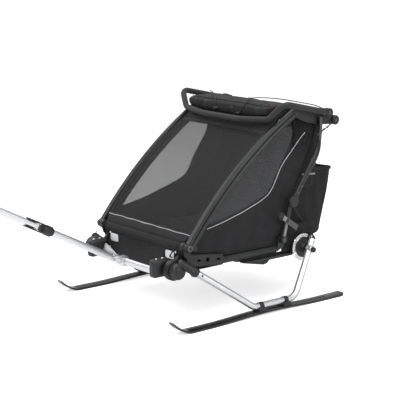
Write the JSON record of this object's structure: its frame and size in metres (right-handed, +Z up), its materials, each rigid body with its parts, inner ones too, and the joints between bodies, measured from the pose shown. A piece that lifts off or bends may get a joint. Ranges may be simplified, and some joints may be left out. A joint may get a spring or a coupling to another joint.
{
  "type": "child bike trailer",
  "caption": "Folding two-seat child trailer cabin on its ski kit, with aluminium ski frames, a front crossbar and a hinged tow pole.",
  "frame": {"origin": "on the ground under the middle of the trailer's bounding box", "axes": "+Z up, +Y back from the tow pole towards the luggage bag, X across the two seats"},
  "size_m": [1.0072, 2.3731, 1.0116],
  "materials": {
    "anodised_silver": "satin anodised",
    "disc_steel": "ground",
    "frame_black": "black powder coat",
    "moulded_black": "fine grain",
    "lever_grey": "fine grain",
    "foam_grip": "closed-cell foam",
    "black_fabric": "coated woven",
    "grey_lining": "soft knit",
    "window_mesh": "open mesh",
    "ski_black": "smooth",
    "reflex_white": "prismatic"
  },
  "bodies": {
    "running_gear": {"ski_left": "ski_black", "ski_right": "ski_black", "ski_saddle_front_left": "moulded_black", "ski_saddle_front_right": "moulded_black", "ski_saddle_rear_left": "moulded_black", "ski_saddle_rear_right": "moulded_black", "ski_frame_left": "anodised_silver", "ski_frame_right": "anodised_silver", "arm_sleeve_left": "moulded_black", "arm_sleeve_right": "moulded_black", "front_hub_left": "moulded_black", "front_hub_right": "moulded_black", "crossbar_clamp_left": "moulded_black", "crossbar_clamp_right": "moulded_black", "crossbar": "anodised_silver", "pole_bracket": "moulded_black", "axle_beam": "frame_black", "brake_caliper_left": "moulded_black", "brake_caliper_right": "moulded_black"},
    "disc_left": {"brake_disc_left": "disc_steel", "disc_carrier_left": "moulded_black"},
    "disc_right": {"brake_disc_right": "disc_steel", "disc_carrier_right": "moulded_black"},
    "button_left": {"release_button_left": "moulded_black"},
    "button_right": {"release_button_right": "moulded_black"},
    "pole_rear": {"pole_rear_tube": "anodised_silver", "pole_coupler": "moulded_black"},
    "pole_front": {"pole_front_tube": "anodised_silver", "pole_end_lug": "moulded_black"},
    "chassis": {"front_bracket_left": "moulded_black", "front_bracket_right": "moulded_black", "lower_rail_left": "frame_black", "lower_rail_right": "frame_black", "floor_tray": "moulded_black", "seat_cushion": "grey_lining", "seat_back": "grey_lining", "harness_left": "moulded_black", "harness_right": "moulded_black", "front_panel": "black_fabric", "front_reflector_left": "reflex_white", "front_reflector_right": "reflex_white", "side_panel_left": "black_fabric", "side_panel_right": "black_fabric", "cargo_bag": "black_fabric"},
    "upper_frame": {"front_upright_left": "frame_black", "front_upright_right": "frame_black", "top_rail_left": "moulded_black", "top_rail_right": "moulded_black", "rear_cross_tube": "frame_black", "front_cover": "window_mesh", "roof_cover": "black_fabric", "rolled_cover": "black_fabric", "brake_cable": "moulded_black"},
    "strut_low_left": {"lower_strut_left": "anodised_silver"},
    "strut_low_right": {"lower_strut_right": "anodised_silver"},
    "strut_high_left": {"upper_strut_left": "frame_black"},
    "strut_high_right": {"upper_strut_right": "frame_black"},
    "lever_left": {"fold_lever_left": "lever_grey"},
    "lever_right": {"fold_lever_right": "lever_grey"},
    "push_bar": {"handlebar": "foam_grip"}
  },
  "joints": [
    {"name": "disc_left_spin", "type": "hinge", "parent": "running_gear", "child": "disc_left", "pos_m": [-0.3605, 0.9306, 0.256], "axis": [-1, 0, 0], "continuous": true},
    {"name": "disc_right_spin", "type": "hinge", "parent": "running_gear", "child": "disc_right", "pos_m": [0.3605, 0.9306, 0.256], "axis": [1, 0, 0], "continuous": true},
    {"name": "release_left_press", "type": "slide", "parent": "running_gear", "child": "button_left", "axis": [1, 0, 0], "range_m": [0, 0.005], "stiffness_N_per_m": 600, "springref_m": -0.004},
    {"name": "release_right_press", "type": "slide", "parent": "running_gear", "child": "button_right", "axis": [-1, 0, 0], "range_m": [0, 0.005], "stiffness_N_per_m": 600, "springref_m": -0.004},
    {"name": "tow_pole_pitch", "type": "hinge", "parent": "running_gear", "child": "pole_rear", "pos_m": [0, 0.0236, 0.268], "axis": [-1, 0, 0], "range_deg": [-35, 35]},
    {"name": "tow_pole_fold", "type": "hinge", "parent": "pole_rear", "child": "pole_front", "pos_m": [0, -0.42071, 0.49732], "axis": [0, 0.4586, 0.8886], "range_deg": [0, 120]},
    {"name": "body_bounce", "type": "hinge", "parent": "running_gear", "child": "chassis", "pos_m": [0, 0.1306, 0.26], "axis": [-1, 0, 0], "range_deg": [0, 1], "stiffness_Nm_per_rad": 12600, "springref_deg": -0.5},
    {"name": "frame_fold", "type": "hinge", "parent": "chassis", "child": "upper_frame", "pos_m": [0, 0.1886, 0.363], "axis": [-1, 0, 0], "range_deg": [0, 25], "deforming": ["side_panel_left", "side_panel_right", "seat_back", "harness_left", "harness_right", "cargo_bag"]},
    {"name": "strut_low_left_turn", "type": "hinge", "parent": "chassis", "child": "strut_low_left", "pos_m": [-0.354, 0.8026, 0.312], "axis": [1, 0, 0], "range_deg": [0, 31]},
    {"name": "strut_low_right_turn", "type": "hinge", "parent": "chassis", "child": "strut_low_right", "pos_m": [0.354, 0.8026, 0.312], "axis": [1, 0, 0], "range_deg": [0, 31]},
    {"name": "strut_high_left_turn", "type": "hinge", "parent": "upper_frame", "child": "strut_high_left", "pos_m": [-0.3722, 1.0286, 0.9], "axis": [-1, 0, 0], "range_deg": [0, 42]},
    {"name": "strut_high_right_turn", "type": "hinge", "parent": "upper_frame", "child": "strut_high_right", "pos_m": [0.3722, 1.0286, 0.9], "axis": [-1, 0, 0], "range_deg": [0, 42]},
    {"name": "fold_lever_left_lift", "type": "hinge", "parent": "strut_low_left", "child": "lever_left", "pos_m": [-0.366, 0.8121, 0.412], "axis": [1, 0, 0], "range_deg": [0, 30]},
    {"name": "fold_lever_right_lift", "type": "hinge", "parent": "strut_low_right", "child": "lever_right", "pos_m": [0.366, 0.8121, 0.412], "axis": [1, 0, 0], "range_deg": [0, 30]},
    {"name": "handlebar_tilt", "type": "hinge", "parent": "upper_frame", "child": "push_bar", "pos_m": [0, 1.0556, 0.937], "axis": [-1, 0, 0], "range_deg": [0, 165]}
  ],
  "couplings": [
    {"joint": "strut_low_left_turn", "follows": "frame_fold", "ratio": 1.2256},
    {"joint": "strut_low_right_turn", "follows": "frame_fold", "ratio": 1.2256},
    {"joint": "strut_high_left_turn", "follows": "frame_fold", "ratio": 1.666},
    {"joint": "strut_high_right_turn", "follows": "frame_fold", "ratio": 1.666}
  ]
}
